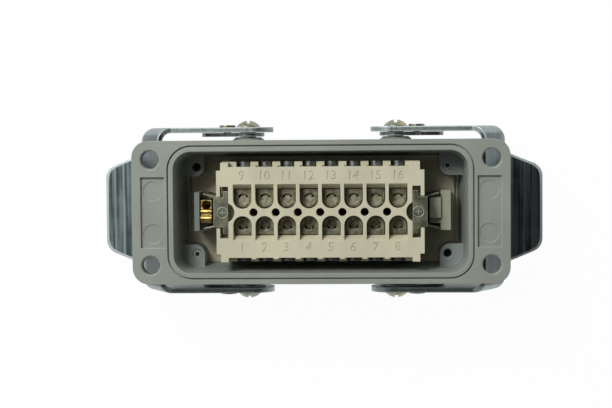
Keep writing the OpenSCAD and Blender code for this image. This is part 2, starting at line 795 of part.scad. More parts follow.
// Shouldered pivot screw with a domed head, for the +Y side
module pivot_screw() {
    head_y = arm_y + lever_t + plate_gap;
    dome_r = (pivot_head_r * pivot_head_r + pivot_head_h * pivot_head_h) / (2 * pivot_head_h);
    rod_y(pivot_thread_r, pivot_boss_y - pivot_thread_l + 0.2, pivot_boss_y + eps);
    rod_y(pivot_d / 2, pivot_boss_y, head_y + eps);
    translate([0, head_y, 0]) rotate([-90, 0, 0]) difference() {
        intersection() {
            cylinder(r = pivot_head_r, h = pivot_head_h);
            translate([0, 0, pivot_head_h - dome_r]) sphere(dome_r);
        }
        translate([-0.5, -pivot_head_r - 1, pivot_head_h - 0.9])
            cube([1, 2 * pivot_head_r + 2, 2]);
    }
}

module at_all_pivots() {
    for (x = [-1, 1], side = [0, 1]) mirror([0, side, 0])
        translate([x * pivot_x, 0, pivot_z]) children();
}

module pivot_screws() color("#b9b78f") at_all_pivots() pivot_screw();

// Thin washers between the conical bosses and the cam plates
module pivot_washers() color("#a8a99a") at_all_pivots() difference() {
    rod_y(pivot_boss_r - 0.2, pivot_boss_y, pivot_boss_y + washer_t);
    rod_y(pivot_d / 2 + 0.1, pivot_boss_y - eps, pivot_boss_y + washer_t + eps);
}

// ---------------------------------------------------------------- drawing

housing();
rim_gasket();
insert_socket_body();
insert_terminal_body();
terminal_screws(1);  // terminal_screws_1_8
terminal_screws(0);  // terminal_screws_9_16
insert_screws();
earth_bracket_left();
earth_bracket_right();
earth_clamp();
earth_screw();
left_lever();
right_lever();
to_left() mirror([0, 1, 0]) cam_plate();  // left_cam_front
to_left() cam_plate();  // left_cam_back
mirror([0, 1, 0]) cam_plate();  // right_cam_front
cam_plate();  // right_cam_back
to_left() cam_rivets();  // left_cam_rivets
cam_rivets();  // right_cam_rivets
pivot_screws();
pivot_washers();
for (i = [1:2 * poles]) contact(i);
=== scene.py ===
"""Dresses a heavy duty rectangular connector: finishes for every part, numbered
terminals, stamped earth marks, and a plain white table with soft light."""

import json
import math

import bpy
from mathutils import Matrix, Vector


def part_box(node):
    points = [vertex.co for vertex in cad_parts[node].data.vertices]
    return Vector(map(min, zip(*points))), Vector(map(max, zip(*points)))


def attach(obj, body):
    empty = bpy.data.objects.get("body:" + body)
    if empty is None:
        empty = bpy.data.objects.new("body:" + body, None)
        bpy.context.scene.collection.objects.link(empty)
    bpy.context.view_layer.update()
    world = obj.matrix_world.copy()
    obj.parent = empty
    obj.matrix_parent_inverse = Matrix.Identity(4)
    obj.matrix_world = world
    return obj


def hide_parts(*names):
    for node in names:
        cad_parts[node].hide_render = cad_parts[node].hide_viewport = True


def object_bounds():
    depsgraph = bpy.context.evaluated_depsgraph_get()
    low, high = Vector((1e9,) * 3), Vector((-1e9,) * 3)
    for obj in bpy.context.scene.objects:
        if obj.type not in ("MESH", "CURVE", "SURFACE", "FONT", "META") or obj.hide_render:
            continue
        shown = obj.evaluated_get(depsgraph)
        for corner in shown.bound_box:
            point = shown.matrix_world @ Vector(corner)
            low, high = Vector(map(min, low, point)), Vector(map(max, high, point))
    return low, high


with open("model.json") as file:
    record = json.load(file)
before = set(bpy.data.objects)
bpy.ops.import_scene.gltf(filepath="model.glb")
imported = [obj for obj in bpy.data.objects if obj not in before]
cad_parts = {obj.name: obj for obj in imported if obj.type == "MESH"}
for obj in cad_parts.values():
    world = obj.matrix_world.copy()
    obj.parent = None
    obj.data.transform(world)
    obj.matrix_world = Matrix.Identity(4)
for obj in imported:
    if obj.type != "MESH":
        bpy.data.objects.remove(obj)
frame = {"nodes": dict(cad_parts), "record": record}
cad_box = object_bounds()

bl_info = {
    "name": "Rectangular connector dressing",
    "version": (1, 0, 0),
    "blender": (4, 5, 0),
    "location": "View3D > Sidebar > Connector",
    "description": "Finishes and fine detail for a bulkhead connector",
    "category": "Object",
}

MM = 0.001
BASE_BODY = "connector"
POLES_IN_ROW = 8


# ------------------------------------------------------------ frame measures

def node_box(name):
    """Lowest and highest corner of one solid."""
    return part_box(name)


def node_middle(name):
    """Middle of one solid's box."""
    low, high = node_box(name)
    return (low + high) / 2


# Sizes of the solids that the finishes are fitted to
BLOCK_TO_END_WALL = 13.2 * MM
BLOCK_TO_SIDE_WALL = 3.3 * MM
SCREW_HEAD_RADIUS = 2.85 * MM
LEVER_SHEET = 1.6 * MM
BRACKET_OVER_BLOCK = 4.6 * MM

# Places read from the frame
TERMINAL_HIGH = node_box("insert_terminal_body")[1]
SCREW_HIGH = node_box("insert_screws")[1]
FACE_Z = TERMINAL_HIGH.z
FLANGE_Z = node_box("housing")[1].z
WELL_X = TERMINAL_HIGH.x + BLOCK_TO_END_WALL
WELL_Y = TERMINAL_HIGH.y + BLOCK_TO_SIDE_WALL
SCREW_TOP = SCREW_HIGH.z
SCREW_X = SCREW_HIGH.x - SCREW_HEAD_RADIUS
SCREW_Y = SCREW_HIGH.y - SCREW_HEAD_RADIUS
LEVER_TIP = node_box("right_lever")[1].x
ARM_Y = node_box("right_lever")[1].y - LEVER_SHEET
BLOCK_END = node_box("earth_bracket_right")[0].x + BRACKET_OVER_BLOCK

# Zones of the finishes, several of them for painted shade and highlights: each pair is
# where a blend starts and where it ends
WELL_SHADE_Z = (FLANGE_Z - 14 * MM, FLANGE_Z - 2 * MM)
WELL_SHADE_FADE = 0.5 * MM
END_BLOCK_Z = (FLANGE_Z - 14 * MM, FLANGE_Z - 12 * MM)
END_BLOCK_X = (BLOCK_END - 0.3 * MM, BLOCK_END + 0.3 * MM)
PROUD_Z = (SCREW_TOP - 2.5 * MM, SCREW_TOP - 1.5 * MM)
HOLE_SHADE_Z = (SCREW_TOP - 7.5 * MM, SCREW_TOP - 6.5 * MM)
ARM_ZONE = (ARM_Y - 1.0 * MM, ARM_Y)
TAB_ZONE = (LEVER_TIP - 12.5 * MM, LEVER_TIP - 11.5 * MM)
WEB_END = (LEVER_TIP - 14 * MM, LEVER_TIP - 12 * MM)
LOWER_SHADE_Y = (9 * MM, 14 * MM)
TABLE_SHADE_X = (cad_box[1][0] - 21 * MM, cad_box[1][0] - 13 * MM)
TABLE_SHADE_Y = (19 * MM, 22 * MM)

# Painted highlight lines on the finishes: the place of each, or its inset from the lever's
# tip, then its half width and its soft width
SCREW_RING_HIGHLIGHT = (0.95 * MM, 0.15 * MM, 0.15 * MM)
TAB_HIGHLIGHT_LINES = ((5.6 * MM, 0.12 * MM, 0.5 * MM), (2.9 * MM, 0.08 * MM, 0.4 * MM))
TAB_RIM_HIGHLIGHT = (-0.5 * MM, 0.12 * MM, 0.3 * MM)

# Outline of the finger tab, which its painted highlight follows
TAB_ROOT = LEVER_TIP - 11.94 * MM
TAB_SLOPE = 0.404
TAB_HALF = ARM_Y - 6.5 * MM
TAB_CORNER = 4.6 * MM

# Lettering and marks
CAP_HEIGHT = 0.72
MERGE_DISTANCE = 0.001 * MM
MARK_INSET = 1.65 * MM
STEM_LENGTH = 1.0 * MM
BAR_SPANS = (1.7 * MM, 1.1 * MM, 0.5 * MM)
BAR_STEP = 0.45 * MM

# Stage
TABLE_SIZE = 6.0
TABLE_GLOW = 0.97
OPEN_TOP = (0.35, 0.8)
KEY_WAY = (-0.6, 0.5, 0.6)
KEY_SPREAD = (0.5, 1.0)
KEY_PLACE = (-0.28, 0.36, 0.6)
KEY_SIZE = 0.25
KEY_TINT = (1.0, 1.0, 0.99)


# ------------------------------------------------------------ shader language

class Field:
    """One output socket that can be used in a Python expression."""

    def __init__(self, graph, socket):
        self.graph = graph
        self.socket = socket

    def _math(self, operation, *values):
        return self.graph.node("ShaderNodeMath", {"operation": operation}, values)

    def __add__(self, other):
        return self._math("ADD", self, other)

    def __radd__(self, other):
        return self._math("ADD", other, self)

    def __sub__(self, other):
        return self._math("SUBTRACT", self, other)

    def __rsub__(self, other):
        return self._math("SUBTRACT", other, self)

    def __mul__(self, other):
        return self._math("MULTIPLY", self, other)

    def __rmul__(self, other):
        return self._math("MULTIPLY", other, self)

    def __abs__(self):
        return self._math("ABSOLUTE", self)

    def root(self):
        return self._math("SQRT", self)

    def smoothly(self, low, high):
        """0 below low, 1 above high, eased between."""
        return self.graph.node("ShaderNodeMapRange",
                               {"interpolation_type": "SMOOTHSTEP"},
                               {"Value": self, "From Min": low, "From Max": high})

    def beside(self, middle, half, soft):
        """1 within half of the middle, falling to 0 over the soft width."""
        return 1.0 - abs(self - middle).smoothly(half, half + soft)


class Graph:
    """Nodes of one material or of the world."""

    def __init__(self, tree):
        self.tree = tree
        self.tree.nodes.clear()

    def node(self, kind, settings=None, inputs=None, output=0):
        """Adds a node: settings first, then the values or links of its sockets."""
        made = self.tree.nodes.new(kind)
        for key, value in (settings or {}).items():
            setattr(made, key, value)
        pairs = inputs.items() if isinstance(inputs, dict) else enumerate(inputs or ())
        for key, value in pairs:
            socket = made.inputs[key]
            if isinstance(value, Field):
                self.tree.links.new(value.socket, socket)
            else:
                socket.default_value = value
        return Field(self, made.outputs[output]) if made.outputs else made

    def place(self, stretch=(1, 1, 1)):
        """Object coordinates, in metres, with each axis stretched."""
        raw = self.node("ShaderNodeTexCoord", output="Object")
        return self.node("ShaderNodeMapping", None, {"Vector": raw, "Scale": stretch})

    def along(self, axis):
        """One object coordinate, in metres."""
        raw = self.node("ShaderNodeTexCoord", output="Object")
        return self.node("ShaderNodeSeparateXYZ", None, (raw,), output=axis)

    def noise(self, size, where=None, detail=3.0):
        """Grey cloud whose patches are about the given size in metres."""
        where = where or self.place()
        return self.node("ShaderNodeTexNoise", None,
                         {"Vector": where, "Scale": 1.0 / size, "Detail": detail,
                          "Roughness": 0.5})

    def blend(self, factor, first, second):
        """Colour that goes from first to second."""
        return self.node("ShaderNodeMix", {"data_type": "RGBA"},
                         {0: factor, 6: first, 7: second}, output=2)

    def grain(self, height, depth, under=None):
        """Normal bent by a height field; depth is in metres."""
        inputs = {"Height": height, "Distance": depth, "Strength": 1.0}
        if under:
            inputs["Normal"] = under
        return self.node("ShaderNodeBump", None, inputs)

    def soft_edges(self, radius):
        """Normal that rounds sharp edges by a radius in metres."""
        return self.node("ShaderNodeBevel", {"samples": 6}, {"Radius": radius})

    def edges(self, radius):
        """1 on sharp edges, 0 on open faces: the mask of the painted edge highlights."""
        flat = self.node("ShaderNodeNewGeometry", output="Normal")
        likeness = self.node("ShaderNodeVectorMath", {"operation": "DOT_PRODUCT"},
                             (self.soft_edges(radius), flat), output="Value")
        return 1.0 - likeness.smoothly(0.86, 0.995)


def colour(red, green, blue):
    """Linear colour from ordinary 0 to 255 screen values."""
    def linear(value):
        value /= 255.0
        return value / 12.92 if value <= 0.04045 else ((value + 0.055) / 1.055) ** 2.4
    return (linear(red), linear(green), linear(blue), 1.0)


def scaled(tint, share):
    """The same colour, darker or lighter."""
    return tuple(min(1.0, part * share) for part in tint[:3]) + (1.0,)


def new_material(name, build):
    """Makes a material whose Principled inputs come from build(graph)."""
    material = bpy.data.materials.new(name)
    material.use_nodes = True
    graph = Graph(material.node_tree)
    shader = graph.node("ShaderNodeBsdfPrincipled", None, build(graph))
    graph.node("ShaderNodeOutputMaterial", None, {"Surface": shader})
    return material


# ------------------------------------------------------------ finishes

def cast_paint(g):
    """Satin grey powder coat over a die casting, with painted highlights on its edges and
    painted cool shade deep inside round the insert.
    """
    look = bpy.context.scene.connector_finish
    cloud = g.noise(12 * MM, detail=4.0)
    speck = g.noise(0.6 * MM, detail=2.0)
    # Painted cool shade deep inside the housing round the insert
    well_shade = ((1.0 - g.along("Z").smoothly(*WELL_SHADE_Z))
            * (1.0 - abs(g.along("X")).smoothly(WELL_X, WELL_X + WELL_SHADE_FADE))
            * (1.0 - abs(g.along("Y")).smoothly(WELL_Y, WELL_Y + WELL_SHADE_FADE)))
    edge = g.edges(look.edge_radius)
    shade = g.blend(cloud.smoothly(0.3, 0.7), scaled(look.housing_colour, 0.94),
                    scaled(look.housing_colour, 1.05))
    # Painted cool shade deep inside the housing
    shade = g.blend(well_shade * 0.8, shade, colour(122, 130, 130))
    # Painted highlight on the edges
    shade = g.blend(edge * 0.4, shade, scaled(look.housing_colour, 1.8))
    height = speck * 0.7 + cloud * 0.3
    return {"Base Color": shade, "Roughness": 0.36 + speck * 0.16, "Metallic": 0.0,
            "Normal": g.grain(height, 0.06 * MM, g.soft_edges(look.edge_radius))}


def beige_plastic(g):
    """Moulded pebble-beige polycarbonate with faint flow marks, painted shade on its end
    blocks and a painted blue-grey reflection on the left one.
    """
    look = bpy.context.scene.connector_finish
    flow = g.noise(9 * MM, g.place((1.0, 0.5, 1.0)), detail=2.0)
    fine = g.noise(0.4 * MM, detail=2.0)
    along = g.along("X")
    raised = g.along("Z").smoothly(*END_BLOCK_Z)
    # Painted shade on the raised end blocks; the left one also gets a painted blue-grey
    # reflection
    ends = abs(along).smoothly(*END_BLOCK_X) * raised
    left_end_shade = (0.0 - along).smoothly(*END_BLOCK_X) * raised
    shade = g.blend(flow.smoothly(0.35, 0.65), scaled(look.insert_colour, 0.94),
                    scaled(look.insert_colour, 1.04))
    # Painted shade on the end blocks, then a painted blue-grey reflection on the left one
    shade = g.blend(ends, shade, colour(158, 162, 140))
    shade = g.blend(left_end_shade, shade, colour(116, 124, 118))
    return {"Base Color": shade,
            "Roughness": 0.4 + fine * 0.15, "Subsurface Weight": 0.08,
            "Subsurface Scale": 0.8 * MM,
            "Normal": g.grain(fine, 0.02 * MM, g.soft_edges(look.edge_radius * 0.6))}


def zinc_sheet(g):
    """Blue zinc on rolled sheet: streaks from drawing and a cloudy tone, with painted
    highlights on its edges, along the tab's outline and where the tab curves, painted
    shade under the flange and on its lower side, and arms partly painted lighter.
    """
    look = bpy.context.scene.connector_finish
    out = abs(g.along("X"))
    streak = g.noise(0.9 * MM, g.place((1.0, 0.03, 0.08)), detail=4.0)
    cloud = g.noise(6 * MM, detail=3.0)
    scratch = g.noise(0.3 * MM, g.place((0.05, 1.0, 1.0)), detail=2.0)
    # Painted highlight lines where the finger tab curves, at two insets from the lever's
    # tip
    inner_highlight, outer_highlight = (out.beside(LEVER_TIP - inset, half, soft)
                              for inset, half, soft in TAB_HIGHLIGHT_LINES)
    curve_highlights = inner_highlight + outer_highlight
    edge = g.edges(0.9 * MM)
    aside = abs(g.along("Y"))
    taper = aside + (out - TAB_ROOT) * TAB_SLOPE - TAB_HALF
    inward = g.node("ShaderNodeMath", {"operation": "SMOOTH_MAX"},
                    (taper, out - LEVER_TIP, TAB_CORNER))
    # Painted highlight along the finger tab's outline
    rim_highlight = inward.beside(*TAB_RIM_HIGHLIGHT) * out.smoothly(*TAB_ZONE)
    # Mask of deeper painted shade on the lower side
    lower_shade = (0.0 - g.along("Y")).smoothly(*LOWER_SHADE_Y)
    arm = aside.smoothly(*ARM_ZONE)
    # Mask of the painted shade on the lever's cross piece under the flange
    web_shade = (1.0 - out.smoothly(*WEB_END)) * (1.0 - arm)
    sheen = g.blend((streak * 0.7 + cloud * 0.3).smoothly(0.38, 0.62),
                    scaled(look.zinc_colour, 0.6), scaled(look.zinc_colour, 1.5))
    # Painted shade under the flange
    sheen = g.blend(web_shade * 0.75, sheen, scaled(look.zinc_colour, 0.35))
    # Arms painted lighter: partly their rougher cut edges, partly a painted highlight
    sheen = g.blend(arm * 0.6, sheen, colour(158, 168, 166))
    # Painted highlight lines where the tab curves
    sheen = g.blend(curve_highlights * 0.6, sheen, colour(205, 214, 214))
    # Deeper painted shade on the lower side of the cross piece
    sheen = g.blend(web_shade * lower_shade * 0.6, sheen, scaled(look.zinc_colour, 0.12))
    # Painted highlights on the sharp edges and along the finger tab's outline
    sheen = g.blend(edge, sheen, colour(214, 222, 222))
    sheen = g.blend(rim_highlight, sheen, colour(206, 216, 217))
    rough = 0.22 + streak * 0.16 + edge * 0.25 + arm * 0.1
    height = streak * (1.0 - arm) * 0.6 + scratch * 0.4
    return {"Base Color": sheen, "Metallic": 1.0 - edge * 0.45 - rim_highlight * 0.6,
            "Roughness": rough,
            "Normal": g.grain(height, 0.03 * MM, g.soft_edges(0.5 * MM))}


def zinc_small(g):
    """Bright zinc on small turned parts, with a grey film in places."""
    cloud = g.noise(1.5 * MM, detail=3.0)
    edge = g.edges(0.2 * MM)
    tone = g.blend(cloud.smoothly(0.3, 0.7), colour(110, 116, 114),
                   colour(165, 170, 168))
    # Painted highlight on the edges
    tone = g.blend(edge, tone, colour(215, 220, 218))
    return {"Base Color": tone, "Metallic": 1.0, "Roughness": 0.3 + cloud * 0.2,
            "Normal": g.grain(cloud, 0.03 * MM, g.soft_edges(0.2 * MM))}


def yellow_zinc(g):
    """Zinc with a faint yellow passivation, as on the pivot screws."""
    cloud = g.noise(2.2 * MM, detail=3.0)
    edge = g.edges(0.3 * MM)
    tone = g.blend(cloud.smoothly(0.35, 0.65), colour(165, 160, 118),
                   colour(122, 134, 134))
    # Painted highlight on the edges
    tone = g.blend(edge * 0.8, tone, colour(215, 218, 200))
    return {"Base Color": tone, "Metallic": 1.0, "Roughness": 0.24 + cloud * 0.15,
            "Normal": g.grain(cloud, 0.03 * MM, g.soft_edges(0.3 * MM))}


def stamped_steel(g):
    """Dull stamped steel of the earth brackets, with painted highlights on its edges."""
    cloud = g.noise(3 * MM, detail=4.0)
    fine = g.noise(0.3 * MM, detail=2.0)
    edge = g.edges(0.25 * MM)
    tone = g.blend(cloud.smoothly(0.3, 0.7), colour(84, 88, 72), colour(130, 132, 112))
    # Painted highlight on the edges
    tone = g.blend(edge * 0.9, tone, colour(214, 216, 200))
    return {"Base Color": tone, "Metallic": 0.8, "Roughness": 0.4 + cloud * 0.2,
            "Normal": g.grain(fine, 0.03 * MM, g.soft_edges(0.2 * MM))}


def worn_line(g):
    """Raised stamped line rubbed to bare metal."""
    cloud = g.noise(1 * MM, detail=3.0)
    return {"Base Color": g.blend(cloud, colour(150, 152, 138), colour(206, 208, 192)),
            "Metallic": 0.4, "Roughness": 0.35 + cloud * 0.2,
            "Normal": g.grain(cloud, 0.02 * MM)}


def insert_screw_zinc(g):
    """Zinc screws whose ends are painted dark as shade in the boss holes, with a painted
    highlight ring where one stands proud.
    """
    cloud = g.noise(0.8 * MM, detail=3.0)
    aside = abs(g.along("X")) - SCREW_X
    across = abs(g.along("Y")) - SCREW_Y
    radius = (aside * aside + across * across).root()
    proud = g.along("Z").smoothly(*PROUD_Z)
    # Painted highlight ring round a proud screw's end
    ring = radius.beside(*SCREW_RING_HIGHLIGHT) * proud
    # Mask of the painted shade in the boss holes: the screws' ends turn dark
    hole_shade = g.along("Z").smoothly(*HOLE_SHADE_Z)
    hole_shade_tone = g.blend(cloud, colour(18, 20, 19), colour(52, 54, 52))
    zinc = g.blend(cloud, colour(132, 138, 136), colour(180, 186, 184))
    # Painted highlight ring over the painted shade at the screws' ends
    tone = g.blend(ring, g.blend(hole_shade, zinc, hole_shade_tone), colour(176, 182, 178))
    return {"Base Color": tone, "Metallic": 1.0 - hole_shade * 0.4,
            "Roughness": 0.4 + cloud * 0.2,
            "Normal": g.grain(cloud, 0.03 * MM, g.soft_edges(0.2 * MM))}


def plain_brass(g):
    """Machined brass, a little tarnished."""
    cloud = g.noise(2 * MM, detail=3.0)
    edge = g.edges(0.3 * MM)
    tone = g.blend(cloud.smoothly(0.3, 0.7), colour(150, 122, 62),
                   colour(212, 188, 116))
    # Painted highlight on the edges
    tone = g.blend(edge * 0.8, tone, colour(248, 238, 188))
    return {"Base Color": tone, "Metallic": 1.0, "Roughness": 0.22 + cloud * 0.15,
            "Normal": g.grain(cloud, 0.04 * MM, g.soft_edges(0.3 * MM))}


def silvered_contact(g):
    """Dull silver plating that has darkened inside the wire entries."""
    cloud = g.noise(1.2 * MM, detail=4.0)
    edge = g.edges(0.2 * MM)
    tone = g.blend(cloud.smoothly(0.3, 0.7), colour(96, 94, 76), colour(140, 138, 116))
    # Painted highlight on the edges
    tone = g.blend(edge * 0.6, tone, colour(214, 214, 192))
    return {"Base Color": tone, "Metallic": 0.85, "Roughness": 0.42 + cloud * 0.2,
            "Normal": g.grain(cloud, 0.03 * MM, g.soft_edges(0.15 * MM))}


def black_rubber(g):
    """Matt black gasket rubber."""
    fine = g.noise(0.5 * MM, detail=3.0)
    return {"Base Color": g.blend(fine, colour(22, 22, 22), colour(36, 36, 35)),
            "Roughness": 0.75, "Normal": g.grain(fine, 0.05 * MM)}


FINISHES = {
    "housing_grey": cast_paint,
    "seal_black": black_rubber,
    "insert_beige": beige_plastic,
    "zinc_small": zinc_small,
    "earth_metal": stamped_steel,
    "brass": plain_brass,
    "lever_zinc": zinc_sheet,
    "rivet_zinc": yellow_zinc,
    "contact_metal": silvered_contact,
    "worn_line": worn_line,
    "insert_screw_zinc": insert_screw_zinc,
}
OWN_FINISH = {"insert_screws": "insert_screw_zinc"}
finished = {}


def finish(slot):
    """The material with one of the names in FINISHES, made on first use."""
    if slot not in finished:
        finished[slot] = new_material(slot, FINISHES[slot])
    return finished[slot]


def slot_of(node):
    """The material slot that the record gives a node."""
    for part in frame["record"]["subparts"]:
        if part["node"] == node:
            return part["material_slot"]
    raise ValueError(f"no material slot for {node}")


def wear(piece, slot):
    """Gives a piece one finish all over."""
    piece.data.materials.clear()
    piece.data.materials.append(finish(slot))


# ------------------------------------------------------------ modelling helpers

def nothing_selected():
    """Leaves edit mode and deselects everything."""
    if bpy.context.object and bpy.context.object.mode != "OBJECT":
        bpy.ops.object.mode_set(mode="OBJECT")
    bpy.ops.object.select_all(action="DESELECT")


def only(piece):
    """Makes one object the selected and active one."""
    nothing_selected()
    piece.select_set(True)
    bpy.context.view_layer.objects.active = piece
    return piece


def settle(piece):
    """Moves an object's place into its mesh."""
    only(piece)
    bpy.ops.object.transform_apply(location=True, rotation=True, scale=True)
    return piece


def joined(pieces, name):
    """One object from several."""
    nothing_selected()
    for piece in pieces:
        piece.select_set(True)
    bpy.context.view_layer.objects.active = pieces[0]
    if len(pieces) > 1:
        bpy.ops.object.join()
    whole = bpy.context.object
    whole.name = name
    return whole


def copy_of(node, name):
    """Merged copy of a CAD solid, ready to be shaped further."""
    source = frame["nodes"][node]
    piece = source.copy()
    piece.data = source.data.copy()
    for key in list(piece.keys()):
        del piece[key]
    piece.parent = None
    piece.name = name
    bpy.context.scene.collection.objects.link(piece)
    only(piece)
    bpy.ops.object.mode_set(mode="EDIT")
    bpy.ops.mesh.select_all(action="SELECT")
    bpy.ops.mesh.remove_doubles(threshold=MERGE_DISTANCE)
    bpy.ops.object.mode_set(mode="OBJECT")
    return piece


def solid_text(words, height, place, reach, name):
    """Lettering as a closed mesh that reaches as far above its place as below."""
    nothing_selected()
    bpy.ops.object.text_add(location=place)
    text = bpy.context.object
    text.name = name
    text.data.body = words
    text.data.align_x = "CENTER"
    text.data.align_y = "CENTER"
    text.data.size = height / CAP_HEIGHT
    text.data.extrude = reach
    text.data.resolution_u = 3
    bpy.ops.object.convert(target="MESH")
    return settle(bpy.context.object)


# ------------------------------------------------------------ properties

class ConnectorFinish(bpy.types.PropertyGroup):
    """Colours and edge softness of the connector."""

    housing_colour: bpy.props.FloatVectorProperty(
        name="Housing", description="Powder coat of the housing", subtype="COLOR",
        size=4, min=0.0, max=1.0, default=colour(142, 147, 138))
    insert_colour: bpy.props.FloatVectorProperty(
        name="Insert", description="Plastic of the insert", subtype="COLOR",
        size=4, min=0.0, max=1.0, default=colour(197, 193, 167))
    zinc_colour: bpy.props.FloatVectorProperty(
        name="Levers", description="Zinc plating of the levers", subtype="COLOR",
        size=4, min=0.0, max=1.0, default=colour(122, 136, 138))
    edge_radius: bpy.props.FloatProperty(
        name="Edge radius", description="Rounding of the sharp edges",
        subtype="DISTANCE", default=0.25 * MM, min=0.0, max=1 * MM)


class ConnectorMarks(bpy.types.PropertyGroup):
    """Sizes of the engraved numbers and stamped marks."""

    digit_height: bpy.props.FloatProperty(
        name="Digit height", description="Height of the terminal numbers",
        subtype="DISTANCE", default=2.8 * MM, min=1 * MM, max=4 * MM)
    digit_depth: bpy.props.FloatProperty(
        name="Digit depth", description="Depth of the terminal numbers",
        subtype="DISTANCE", default=0.17 * MM, min=0.05 * MM, max=0.5 * MM)
    ring_radius: bpy.props.FloatProperty(
        name="Ring radius", description="Radius of the ring round the earth mark",
        subtype="DISTANCE", default=1.6 * MM, min=1 * MM, max=2.5 * MM)


class ConnectorStage(bpy.types.PropertyGroup):
    """Camera, light and table."""

    camera_height: bpy.props.FloatProperty(
        name="Camera height", description="Distance from the flange face to the camera",
        subtype="DISTANCE", default=450 * MM, min=200 * MM, max=2.0)
    lens: bpy.props.FloatProperty(
        name="Lens", description="Focal length in millimetres", default=88.0, min=20.0,
        max=300.0)
    tilt: bpy.props.FloatVectorProperty(
        name="Tilt", description="Small turns of the camera away from straight down",
        subtype="EULER", size=3,
        default=[math.radians(angle) for angle in (-2.76, 2.78, -0.32)])
    aim: bpy.props.FloatVectorProperty(
        name="Aim", description="Shift of the connector in the view", subtype="XYZ",
        size=2, default=(4.26 * MM, -2.43 * MM))
    key_power: bpy.props.FloatProperty(
        name="Key light", description="Power of the key light in watts", default=3.8,
        min=0.0, max=50.0)
    sky_level: bpy.props.FloatProperty(
        name="Sky", description="Brightness of the walls of the light tent",
        default=0.6, min=0.0, max=3.0)
    softbox_level: bpy.props.FloatProperty(
        name="Soft box", description="Brightness of the glow round the key light",
        default=0.6, min=0.0, max=3.0)
    zenith_level: bpy.props.FloatProperty(
        name="Zenith", description="Brightness straight above", default=0.02,
        min=0.0, max=1.0)


GROUPS = {
    "connector_finish": ConnectorFinish,
    "connector_marks": ConnectorMarks,
    "connector_stage": ConnectorStage,
}


# ------------------------------------------------------------ operators

class CONNECTOR_OT_finishes(bpy.types.Operator):
    """Give every solid its finish"""

    bl_idname = "connector.finishes"
    bl_label = "Finishes"

    def execute(self, context):
        for name, node in frame["nodes"].items():
            wear(node, OWN_FINISH.get(name) or slot_of(name))
        return {"FINISHED"}


class CONNECTOR_OT_terminal_numbers(bpy.types.Operator):
    """Engrave the terminal numbers in the face of the insert"""

    bl_idname = "connector.terminal_numbers"
    bl_label = "Terminal numbers"

    lower_offset: bpy.props.FloatProperty(
        name="Lower row", description="Distance of the lower numbers from the middle",
        subtype="DISTANCE", default=10.7 * MM)
    upper_offset: bpy.props.FloatProperty(
        name="Upper row", description="Distance of the upper numbers from the middle",
        subtype="DISTANCE", default=10.9 * MM)

    def execute(self, context):
        marks = context.scene.connector_marks
        face = copy_of("insert_terminal_body", "terminal_face")
        digits = []
        for number in range(1, 2 * POLES_IN_ROW + 1):
            middle = node_middle(f"contact_{number}")
            y = -self.lower_offset if number <= POLES_IN_ROW else self.upper_offset
            digits.append(solid_text(str(number), marks.digit_height,
                                     (middle.x, y, FACE_Z), marks.digit_depth,
                                     f"digit_{number}"))
        cutter = joined(digits, "digit_cutter")
        only(face)
        carve = face.modifiers.new("Carve", "BOOLEAN")
        carve.operation = "DIFFERENCE"
        carve.solver = "EXACT"
        carve.use_self = True
        carve.object = cutter
        bpy.ops.object.modifier_apply(modifier=carve.name)
        bpy.data.objects.remove(cutter)
        wear(face, "insert_beige")
        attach(face, BASE_BODY)
        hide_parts("insert_terminal_body")
        return {"FINISHED"}


class CONNECTOR_OT_earth_marks(bpy.types.Operator):
    """Stamp the ringed earth mark on both earth brackets"""

    bl_idname = "connector.earth_marks"
    bl_label = "Earth marks"

    line: bpy.props.FloatProperty(
        name="Line width", description="Width of the stamped lines",
        subtype="DISTANCE", default=0.16 * MM)
    relief: bpy.props.FloatProperty(
        name="Relief", description="Height of the stamped lines above the plate",
        subtype="DISTANCE", default=0.06 * MM)

    def bar(self, middle, size):
        """Raised stroke with chamfered edges."""
        nothing_selected()
        bpy.ops.mesh.primitive_cube_add(size=1.0, location=middle)
        stroke = bpy.context.object
        stroke.scale = (size[0], size[1], 2 * self.relief)
        settle(stroke)
        bevel = stroke.modifiers.new("Soft", "BEVEL")
        bevel.width = self.relief * 0.6
        bevel.segments = 2
        bpy.ops.object.modifier_apply(modifier=bevel.name)
        return stroke

    def execute(self, context):
        marks = context.scene.connector_marks
        for side in ("left", "right"):
            node = f"earth_bracket_{side}"
            low, high = node_box(node)
            sign = -1 if side == "left" else 1
            inner = low.x if sign > 0 else high.x
            centre = Vector((inner + sign * MARK_INSET, 0.0, high.z))
            nothing_selected()
            bpy.ops.mesh.primitive_torus_add(
                location=centre, major_radius=marks.ring_radius,
                minor_radius=self.line / 2, major_segments=48, minor_segments=8)
            ring = bpy.context.object
            ring.scale = (1.0, 1.0, 2 * self.relief / self.line)
            strokes = [settle(ring)]
            strokes.append(self.bar(centre + Vector((STEM_LENGTH / 2, 0, 0)),
                                    (STEM_LENGTH, self.line)))
            for step, span in enumerate(BAR_SPANS):
                strokes.append(self.bar(centre - Vector((step * BAR_STEP, 0, 0)),
                                        (self.line, span)))
            mark = joined(strokes, f"earth_mark_{side}")
            wear(mark, "worn_line")
            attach(mark, BASE_BODY)
        return {"FINISHED"}


